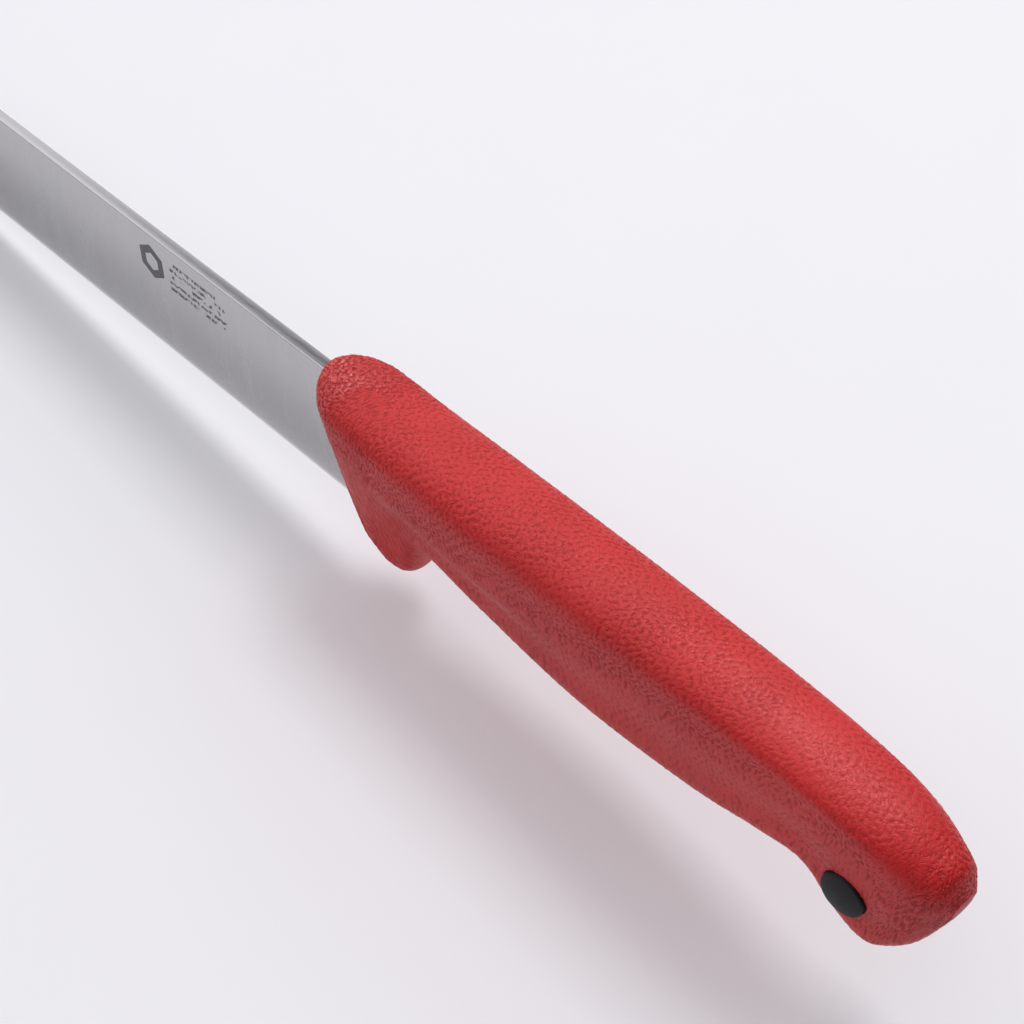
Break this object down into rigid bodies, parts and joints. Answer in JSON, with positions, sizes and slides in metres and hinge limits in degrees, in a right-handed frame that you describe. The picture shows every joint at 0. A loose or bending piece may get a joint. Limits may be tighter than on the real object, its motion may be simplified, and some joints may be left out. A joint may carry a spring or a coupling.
{
  "type": "slicing knife",
  "caption": "Straight narrow satin steel slicing knife with a red leather-textured moulded grip, finger guard, hooked butt and black round plugs.",
  "frame": {"origin": "middle of the knife's length, on the blade's mid-plane, at the level of the guard's tip", "axes": "+X along the spine from the blade's tip to the butt, +Z from the cutting edge to the spine, -Y out of the marked left face"},
  "size_m": [0.334, 0.0174, 0.0345],
  "materials": {
    "blade_steel": "satin, finely ground across the blade",
    "core_plastic": "as moulded",
    "grip_red": "soft, with a wrinkled leather texture",
    "plug_black": "fine matt moulding"
  },
  "bodies": {
    "root": {"blade": "blade_steel", "handle_core": "core_plastic", "grip": "grip_red", "plug_left": "plug_black", "plug_right": "plug_black"}
  },
  "joints": []
}
